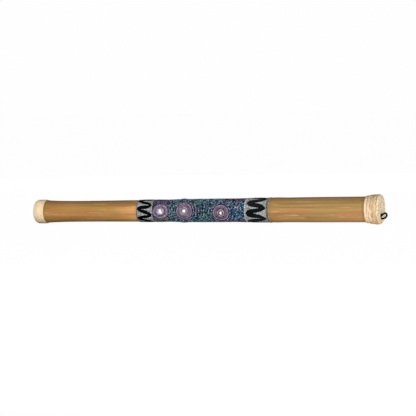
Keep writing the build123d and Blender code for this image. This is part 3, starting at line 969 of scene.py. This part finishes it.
def make_zigzag(name, node, limits, stroke, turn, seed, paint, left_gain, skew):
    """A hand-painted serpentine stroke, fatter along its bars than at its points."""
    t, x, below = zigzag_line(limits, turn, 560)
    around = HALF_TOOTH * t
    edge = np.cos(math.pi * t)
    bar = np.abs(np.sin(math.pi * t))
    phases = np.random.default_rng(seed).uniform(*PHASES, 4)
    x = x + ripple(around, (1.1, 6, phases[0]))
    below = below + ripple(around, (1.0, 5, phases[1]), (0.5, 13, phases[2])) - skew * edge
    width = stroke * (0.74 + 0.34 * bar + ripple(around, (0.08, 9, phases[3])))
    width = width * (1 - 0.3 * np.maximum(-edge, 0) ** 3) * (1 + left_gain * np.maximum(edge, 0) ** 2)
    tone = np.clip(0.25 + ripple(around, (0.2, 3, phases[0])), 0, 1)
    shape = Shape()
    path = on_tube(x, below, COAT + 0.08)
    sweep(shape, path, outwards(below), width, 0.85, tone, sides=14, closed=True, square=0.8)
    shape.make(name, paint, replaced=[node], slot="black_paint")


def make_specks(paints):
    """Rows of pale dots between the bars of both zigzags."""
    shape = Shape()
    chance = np.random.default_rng(61)
    for limits, turn, rows in ((LEFT_ZIGZAG, LEFT_ZIGZAG_TURN, 4), (RIGHT_ZIGZAG, RIGHT_ZIGZAG_TURN, 6)):
        middle = (limits[0] + limits[1]) / 2
        for k in range(2 * ZIGZAG_TEETH):
            side = 1 if k % 2 == 0 else -1
            x = middle + side * 3.5 + np.linspace(-1, 1, rows) * (limits[1] - limits[0]) * 0.24
            x = x + chance.normal(0, 0.3, rows)
            below = turn + HALF_TOOTH * k + chance.normal(0, 0.5, rows)
            sizes = chance.uniform(0.9, 1.35, rows)
            tones = chance.uniform(0.5, 1.0, rows)
            dots(shape, on_tube(x, below, COAT - 0.02), outwards(below), sizes, 0.4, tones)
    shape.make("border_specks", paints["silver"], slot="pale_paint")


def make_dotted_ring(name, node, start, width, rows, size, paint, slot, seed):
    """A ring of dots on a low bead of paint."""
    chance = np.random.default_rng(seed)
    shape = Shape()
    turn = np.linspace(0, 360, 240, endpoint=False)
    x = start + width / 2 + ripple(turn, (0.35, 7, seed), (0.25, 13, 2))
    sweep(shape, on_tube(x, turn, COAT), outwards(turn), width * 0.8, 0.5, 0.2, sides=10, closed=True)
    for row in range(rows):
        place = start + width * (row + 0.5) / rows
        count = int(2 * math.pi * culm_radius(place) / (size * 2.3))
        below = 360.0 / count * (np.arange(count) + 0.5 * row) + chance.normal(0, 0.5, count)
        along = place + chance.normal(0, 0.25, count)
        tone = np.clip(0.7 + chance.normal(0, 0.2, count), 0.1, 1.0)
        sizes = size * chance.uniform(0.8, 1.1, count)
        dots(shape, on_tube(along, below, COAT + 0.15), outwards(below), sizes, 0.45, tone)
    shape.make(name, paint, replaced=[node], slot=slot)


def make_band(paints, field_sand, border_sand):
    """The painted band, from its coats of sand up to its strokes and dots."""
    coats = (
        ("left_border", BAND_LEFT, FIELD_LEFT, border_sand, "border_sand", 0.10),
        ("dot_field", FIELD_LEFT, FIELD_RIGHT, field_sand, "field_sand", 0.08),
        ("right_border", FIELD_RIGHT, BAND_RIGHT, border_sand, "border_sand", 0.10),
    )
    for zone, start, end, sand, slot, lump in coats:
        make_coat(f"{zone}_sand", f"{zone}_coat", start, end, sand, slot, lump)
    make_field_dots(paints)
    make_rosettes(paints)
    # limits, stroke, turn, seed, paint, how much fatter the left points are, and skew in degrees
    left_stroke = (LEFT_ZIGZAG, 9.0, LEFT_ZIGZAG_TURN, 71, paints["black"], 0.12, 3.5)
    right_stroke = (RIGHT_ZIGZAG, 11.1, RIGHT_ZIGZAG_TURN, 72, paints["charcoal"], 0.45, 1.0)
    make_zigzag("left_serpentine", "left_zigzag", *left_stroke)
    make_zigzag("right_serpentine", "right_zigzag", *right_stroke)
    make_specks(paints)
    # start, width, rows, size of the dots, paint, slot and seed
    left_edge = (BAND_LEFT, EDGE_LINE_WIDTH, 1, 1.0, paints["sand"], "pale_paint", 81)
    field_edge = (FIELD_RIGHT, FIELD_RING_WIDTH, 1, 2.0, paints["silver"], "white_paint", 82)
    right_start = BAND_RIGHT - BORDER_RING_WIDTH
    right_edge = (right_start, BORDER_RING_WIDTH, 3, 1.25, paints["sand"], "pale_paint", 83)
    make_dotted_ring("left_edge_dots", "left_edge_line", *left_edge)
    make_dotted_ring("field_edge_dots", "field_dot_ring", *field_edge)
    make_dotted_ring("border_edge_dots", "right_border_ring", *right_edge)


# ---------------------------------------------------------------- left cap


def quarter(centre_x, centre_radius, rounding, side, count=9):
    """A rounded corner of an outline, from its skirt to its face."""
    turn = np.linspace(0, math.pi / 2, count)
    return [(centre_x + side * rounding * math.sin(a), centre_radius + rounding * math.cos(a)) for a in turn]


def hoop(shape, x, radius, width, height, tone, mark, **section):
    """A strand wound once round the axis; its place, radius and width may differ along it."""
    path = round_tube(x, radius, HOOP)
    sweep(shape, path, outwards(HOOP), width, height, tone, mark, closed=True, **section)


def make_left_pad(cane):
    """The rounded cover under the left cap's strips and coil."""
    inner = float(culm_radius(LEFT_CAP_EDGE)) + 0.05
    outline = [(LEFT_END + 0.5, r) for r in np.linspace(2.0, LEFT_FACE_RADIUS, 12)[:-1]]
    outline += quarter(LEFT_SHOULDER, LEFT_FACE_RADIUS, LEFT_CAP_ROUNDING - 0.5, -1)[::-1]
    outline += [(x, LEFT_CAP_RADIUS - 1.2) for x in np.linspace(LEFT_SHOULDER + 1.2, LEFT_CAP_EDGE, 12)]
    outline += [(LEFT_CAP_EDGE, inner), (-COVER_INSIDE, inner), (-COVER_INSIDE, 2.0)]
    shape = Shape()
    lathe(shape, outline, 120, tone=0.35, tips=True)
    shape.make("left_cap_pad", cane, replaced=["left_end_cover"], slot="cane")


def make_left_strips(cane, chance):
    """Thin strips wound side by side round the left skirt."""
    shape = Shape()
    strips = 13
    width = (LEFT_CAP_EDGE - 0.2 - LEFT_SHOULDER) / strips
    for k in range(strips):
        phase = chance.uniform(*PHASES, 2)
        x = LEFT_SHOULDER + width * (k + 0.5) + ripple(HOOP, (0.12, 2, phase[0]), (0.06, 5, phase[1]))
        tone = 0.68 + chance.normal(0, 0.12)
        radius = LEFT_CAP_RADIUS - 0.75 + ripple(HOOP, (0.05, 3, phase[1]))
        hoop(shape, x, radius, width * 1.12, 1.5, tone, k)
    names = [f"left_cane_strip_{k}" for k in range(1, 5)]
    shape.make("left_cap_strips", cane, replaced=names, slot="cane")


def make_left_coil(cane, chance):
    """Strips coiled over the left cap's rounded corner and its face."""
    shape = Shape()
    rounding = LEFT_CAP_ROUNDING - 0.55
    corner_arc = rounding * math.pi / 2
    coils = 19
    pitch = (corner_arc + LEFT_FACE_RADIUS) / coils
    for k in range(coils):
        at = pitch * (k + 0.5)
        lean = min(at / rounding, math.pi / 2)
        x = LEFT_SHOULDER - rounding * math.sin(lean)
        radius = LEFT_FACE_RADIUS + rounding * math.cos(lean) - max(at - corner_arc, 0)
        tone = 0.55 + chance.normal(0, 0.12)
        path = round_tube(x, radius + ripple(HOOP, (0.1, 2, k)), HOOP)
        sweep(shape, path, leaning(lean, HOOP, -1), pitch * 1.05, 0.95, tone, mark=20 + k, closed=True)
    shape.make("left_cap_coil", cane, slot="cane")


def make_left_cap(cane, pale_cane):
    """A smooth cover with its strips and its coil."""
    make_left_pad(cane)
    chance = np.random.default_rng(91)
    make_left_strips(cane, chance)
    make_left_coil(pale_cane, chance)


# ---------------------------------------------------------------- right cap


def binding_radius(x):
    """Outside of the right binding at x."""
    places, radii = zip(*RIGHT_BINDING)
    return np.interp(x, places, radii)


def exit_gap(y, z):
    """Distance on the end face from the nearer of the two places where the cord comes out."""
    exits = (LOOP_ROUTE[0], LOOP_ROUTE[-1])
    return np.min([np.hypot(y - exit_y / MM, z - exit_z / MM) for _, exit_y, exit_z in exits], axis=0)


def face_dent(y, z):
    """How deep the end face is sunk at a place: a round socket where each end of the cord comes out."""
    return np.sqrt(np.maximum(SOCKET_RADIUS**2 - exit_gap(y, z) ** 2, 0))


def clear_of_cord(points):
    """How much of a strand is left at each point: it sinks into the cover near the cord's two exits."""
    return np.clip((exit_gap(points[:, 1], points[:, 2]) - CORD_CLEARANCE) / 2.0, 0, 1)


def make_right_pad(cane):
    """The cover under the binding and lacing, with the two sockets in its face."""
    start = RIGHT_CAP_EDGE + 0.3
    inner = float(culm_radius(TUBE_RIGHT)) + 0.05
    outline = [(COVER_INSIDE, 2.0), (COVER_INSIDE, inner), (start, inner)]
    outline += [(x, binding_radius(x) - 1.5) for x in np.linspace(start, RIGHT_SHOULDER, 24)]
    outline += quarter(RIGHT_SHOULDER, RIGHT_FACE_RADIUS, RIGHT_RIM_ROUNDING - 0.8, 1)[1:]
    outline += [(RIGHT_END - 0.8, r) for r in np.arange(RIGHT_FACE_RADIUS - 0.6, 1.0, -0.6)]

    def relief(points):
        dent = face_dent(points[..., 1], points[..., 2]) * (points[..., 0] > RIGHT_END - 1.2)
        return np.stack([-dent, 0 * dent, 0 * dent], axis=-1)

    # painted shade: a low tone on the skirt under the binding darkens the gaps between its turns, and the
    # face darkens in the two sockets
    def painted_recess_shade(points):
        radius = np.linalg.norm(points[:, 1:], axis=1)
        skirt = (points[:, 0] < RIGHT_SHOULDER + 1) & (radius > inner + 1)
        dent = face_dent(points[:, 1], points[:, 2]) * (points[:, 0] > RIGHT_END - 5)
        return np.where(skirt, 0.1, 0.42) - 0.18 * np.clip(dent, 0, 2)

    shape = Shape()
    lathe(shape, outline, 200, relief, painted_recess_shade, tips=True)
    shape.make("right_cap_pad", cane, replaced=["right_end_cover"], slot="cane")


def wound_strand(shape, places, angles, width, tone, mark, phase):
    """A strand that winds round the right cap between two angles and tapers to its ends."""
    height = 1.3
    lift = 0.25
    count = max(int((angles[1] - angles[0]) / 3), 12)
    share = np.linspace(0, 1, count)
    below = angles[0] + (angles[1] - angles[0]) * share
    x = places[0] + (places[1] - places[0]) * share + ripple(below, (0.3, 3, phase))
    taper = np.minimum(1, np.minimum(share, 1 - share) * 7 + 0.12)
    wide = width * taper * (1 + ripple(below, (0.12, 2.3, phase)))
    radius = binding_radius(x) - height / 2 + lift * np.sin(math.pi * share) - (1 - taper) * 0.9
    sweep(shape, round_tube(x, radius, below), outwards(below), wide, height, tone, mark, sides=10)


def make_full_turns(cane, chance):
    """A broad strip along the edge of the right cap, and full turns from there to the rim."""
    shape = Shape()
    x = 463.9 + ripple(HOOP, (0.25, 2, 0.6))
    hoop(shape, x, binding_radius(x) - 0.95, 6.9, 1.9, 0.72, 0.0, sides=14, square=0.7)
    first, last, turns = 467.4, 496.4, 13
    pitch = (last - first) / turns
    for k in range(turns):
        phase = chance.uniform(*PHASES, 3)
        x = first + pitch * (k + 0.5) + ripple(HOOP, (0.28, 1, phase[0]), (0.2, 3, phase[1]))
        width = pitch * (1.06 + ripple(HOOP, (0.16, 2, phase[2])))
        tone = 0.5 + chance.normal(0, 0.13)
        radius = binding_radius(x) - 1.15 + ripple(HOOP, (0.12, 2, phase[1]))
        hoop(shape, x, radius, width, 1.7, tone, 1 + k)
    names = [f"right_cane_turn_{k}" for k in range(1, 8)]
    shape.make("right_cap_binding", cane, replaced=names, slot="cane")


def make_overwraps(cane, chance):
    """Slanting part turns on top of the full ones."""
    shape = Shape()
    for k in range(26):
        start = chance.uniform(0, 360)
        end = start + chance.uniform(70, 190)
        first = chance.uniform(468.5, 488)
        last = np.clip(first + chance.uniform(-5.5, 5.5), 467.8, 491)
        width = chance.uniform(1.5, 3.0)
        tone = chance.uniform(0.45, 0.95)
        phase = chance.uniform(*PHASES)
        wound_strand(shape, (first, last), (start, end), width, tone, 30 + k, phase)
    shape.make("right_cap_overwraps", cane, slot="cane")


def make_binding(cane):
    """Everything wound round the right skirt."""
    chance = np.random.default_rng(101)
    make_full_turns(cane, chance)
    make_overwraps(cane, chance)


def over_rim(reach):
    """Place, radius and lean from the binding, over the rim and in towards the middle of the right face."""
    rounding = RIGHT_RIM_ROUNDING - 0.6
    places = [
        (RIGHT_SHOULDER - 2.2, RIGHT_RIM_RADIUS + 0.5, 0.0),
        (RIGHT_SHOULDER - 0.6, RIGHT_RIM_RADIUS, 0.0),
    ]
    for lean in np.linspace(0, math.pi / 2, 8)[1:]:
        x = RIGHT_SHOULDER + rounding * math.sin(lean)
        places.append((x, RIGHT_FACE_RADIUS + rounding * math.cos(lean), lean))
    for radius in np.linspace(RIGHT_FACE_RADIUS, reach, 14)[1:]:
        places.append((RIGHT_END - 0.6, radius, math.pi / 2))
    return np.array(places)


def make_stakes(cane, chance):
    """Strips laced over the rim and in across the face; each stops short of the cord's exits."""
    shape = Shape()
    x, radius, lean = over_rim(8.5).T
    for k in range(STAKES):
        below = 360.0 / STAKES * (k + 0.5) + chance.normal(0, 0.8)
        path = round_tube(x, radius, below)
        up = leaning(lean, below)
        left = clear_of_cord(path)
        width = 4.6 * np.clip(radius / 30, 0.35, 1.0) * chance.uniform(0.85, 1.1)
        woven = 0.28 * np.sin(radius * math.pi / 5.2 + k * math.pi) * (lean > 1.5)
        path = path + up * (woven - (1 - left) * 2.4)[:, None] * np.array([1.0, 0.0, 0.0])
        clear = left > 0.02
        kept = len(clear) if clear.all() else int(np.argmin(clear))
        if kept < 5:
            continue
        # painted shade: the stake is darker where it faces outwards over the rim
        tone = chance.uniform(0.5, 0.9) - RIM_PAINTED_SHADE * np.cos(lean[:kept])
        width = width[:kept] * left[:kept].clip(0.3, 1)
        sweep(shape, path[:kept], up[:kept], width, 0.9, tone, mark=60 + k)
    shape.make("right_face_stakes", cane, replaced=["right_edge_lacing"], slot="cane")


def make_weavers(cane, chance):
    """Rings woven under and over the stakes, and a coil in the middle of the face."""
    shape = Shape()
    turn = np.linspace(0, 360, 240, endpoint=False)
    profile = over_rim(9.6)
    along = run_lengths(profile[:, :2])
    for order, at in enumerate(np.arange(2.6, along[-1], 2.45)):
        x, radius, lean = (np.interp(at, along, values) for values in profile.T)
        up = leaning(lean, turn)
        path = round_tube(x, radius + ripple(turn, (0.25, 3, order)), turn)
        left = clear_of_cord(path) if lean > 1 else np.ones(len(turn))
        woven = 0.25 * np.cos(np.radians(turn) * STAKES / 2 + order * math.pi) - (1 - left) * 2.2
        path = path + up * woven[:, None]
        # painted shade: rings over the rim are darker than rings on the face
        tone = 0.6 + chance.normal(0, 0.12) - RIM_PAINTED_SHADE * math.cos(lean)
        sweep(shape, path, up, 2.3 * left.clip(0.25, 1), 0.85, tone, mark=90 + order, closed=True)
    share = np.linspace(0, 1, 260)
    spiral = round_tube(RIGHT_END - 0.55, 1.0 + 7.6 * share, share * 360 * 4)
    sweep(shape, spiral, np.array([1.0, 0, 0]), 2.0, 0.95, 0.6, mark=99)
    shape.make("right_face_weavers", cane, slot="cane")


def make_lacing(cane):
    """The woven cover of the right face."""
    chance = np.random.default_rng(111)
    make_stakes(cane, chance)
    make_weavers(cane, chance)


# ---------------------------------------------------------------- inside


def round_bean():
    """The points and triangles of a round bean of radius 1."""
    ball = bmesh.new()
    bmesh.ops.create_icosphere(ball, subdivisions=2, radius=1.0)
    ball.verts.ensure_lookup_table()
    points = np.array([vertex.co for vertex in ball.verts])
    faces = np.array([[vertex.index for vertex in face.verts] for face in ball.faces])
    ball.free()
    return points, faces


def make_seeds(seed):
    """Wrinkled beans in the lowest lanes between the pegs."""
    bean, faces = round_bean()
    bend = np.zeros_like(bean)
    bend[:, 1] = 0.18 * (bean[:, 0] ** 2 - 0.4)
    chance = np.random.default_rng(4)
    shape = Shape()
    for lane in (240.0, 270.0, 300.0):
        turn = math.radians(lane)
        up = np.array([0, math.cos(turn), math.sin(turn)])
        side = np.array([0, -math.sin(turn), math.cos(turn)])
        for height, sideways in ((20.5, -2.0), (20.5, 2.0), (16.8, 0.0), (12.9, 0.0)):
            for row in range(14):
                centre = np.array([-475.0 + 4.3 * row, 0, 0]) + up * height + side * sideways
                axes = np.linalg.qr(chance.normal(size=(3, 3)))[0]
                sizes = np.array([1.85, 1.5, 1.4]) * chance.uniform(0.9, 1.0)
                wrinkles = 1 + 0.05 * waves(bean, 0.9, int(chance.integers(1e6)))[:, None]
                points = centre + ((bean * wrinkles + bend) * sizes) @ axes
                turned = faces[:, ::-1] if np.linalg.det(axes) < 0 else faces
                shape.add(points, [turned], chance.uniform(0.25, 0.75))
    shape.make("wrinkled_seeds", seed, body="seeds", replaced=["grain_charge"], slot="seed")


def finish_cad_nodes(skewer, cord, wood):
    """Materials for the CAD nodes that stay."""
    for name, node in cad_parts.items():
        if name.startswith("peg_turn"):
            material, slot = skewer, "peg"
        elif name in ("left_end_disc", "right_end_disc"):
            material, slot = wood, "end_wood"
        elif name == "loop_tails":
            material, slot = cord, "cord"
        else:
            continue
        node.data.materials.clear()
        node.data.materials.append(material)


# ---------------------------------------------------------------- everything

# screen values at a dark, a middle and a light tone
PAINTS = {
    "teal": ((24, 62, 70), (84, 136, 144), (154, 198, 202)),
    "steel": ((22, 46, 68), (86, 124, 150), (162, 194, 214)),
    "blue": ((22, 44, 84), (80, 125, 171), (158, 202, 238)),
    "pale": ((120, 150, 176), (156, 184, 206), (196, 214, 228)),
    "violet": ((46, 34, 60), (108, 94, 130), (168, 156, 190)),
    "stone": ((42, 40, 42), (106, 104, 108), (166, 164, 168)),
    "lilac": ((70, 64, 94), (130, 122, 156), (196, 188, 214)),
    "mauve": ((92, 74, 98), (152, 132, 160), (206, 190, 212)),
    "rose": ((112, 62, 94), (168, 118, 150), (214, 174, 198)),
    "blush": ((150, 130, 144), (200, 184, 196), (236, 224, 234)),
    "taupe": ((84, 74, 66), (134, 122, 112), (182, 170, 158)),
    "plum": ((48, 37, 50), (72, 58, 74), (102, 86, 104)),
    "white": ((206, 192, 204), (240, 234, 240), (255, 255, 255)),
    "silver": ((104, 108, 114), (164, 170, 176), (222, 227, 230)),
    "sand": ((66, 58, 42), (120, 109, 84), (180, 170, 142)),
    "black": ((3, 3, 4), (11, 12, 13), (40, 45, 43)),
    "charcoal": ((17, 19, 18), (33, 37, 36), (64, 70, 68)),
}
# each stop is a tone or a grain's brightness, then screen values
CANES = {
    "skewer_bamboo": ((0.1, 150, 104, 58), (0.9, 206, 168, 112)),
    "left_cane": ((0.1, 196, 150, 98), (0.45, 246, 213, 166), (0.9, 255, 238, 202)),
    "pale_cane": ((0.1, 170, 143, 106), (0.45, 226, 206, 169), (0.9, 245, 232, 206)),
    "right_cane": ((0.05, 126, 92, 60), (0.38, 204, 172, 130), (0.65, 228, 200, 160), (0.95, 246, 226, 192)),
    "face_cane": ((0.05, 140, 112, 84), (0.38, 236, 209, 168), (0.65, 252, 231, 194), (0.95, 255, 243, 216)),
}
FIELD_SAND = ((0.2, 6, 9, 15), (0.6, 20, 26, 36), (0.85, 44, 56, 68))
BORDER_SAND = ((0.3, 56, 56, 54), (0.42, 112, 112, 111), (0.55, 159, 160, 161), (0.7, 216, 218, 221))


def make_paints():
    """Every paint by name; each runs from dark to light with the tone of its dots or strokes."""
    paints = {}
    for name, (dark, middle, light) in PAINTS.items():
        top = 0.8 if name == "white" else 0.9
        matt = {"roughness": 0.8, "specular": 0.08} if name in ("black", "charcoal") else {}
        paints[name] = paint_finish(name, ((0.1, *dark), (0.5, *middle), (top, *light)), **matt)
    return paints


def build():
    make_studio()
    cord = cord_finish()
    make_loop(cord)
    make_knot(cord)
    canes = {name: cane_finish(name, *stops) for name, stops in CANES.items()}
    make_culm(bamboo_finish())
    make_peg_heads(canes["skewer_bamboo"])
    field_sand = sand_finish("field_sand", 0.7, 1.0, *FIELD_SAND)
    border_sand = sand_finish("border_sand", 0.8, 1.2, *BORDER_SAND)
    make_band(make_paints(), field_sand, border_sand)
    make_left_cap(canes["left_cane"], canes["pale_cane"])
    make_right_pad(canes["right_cane"])
    make_binding(canes["right_cane"])
    make_lacing(canes["face_cane"])
    make_seeds(seed_finish())
    finish_cad_nodes(canes["skewer_bamboo"], cord, wood_finish())


build()
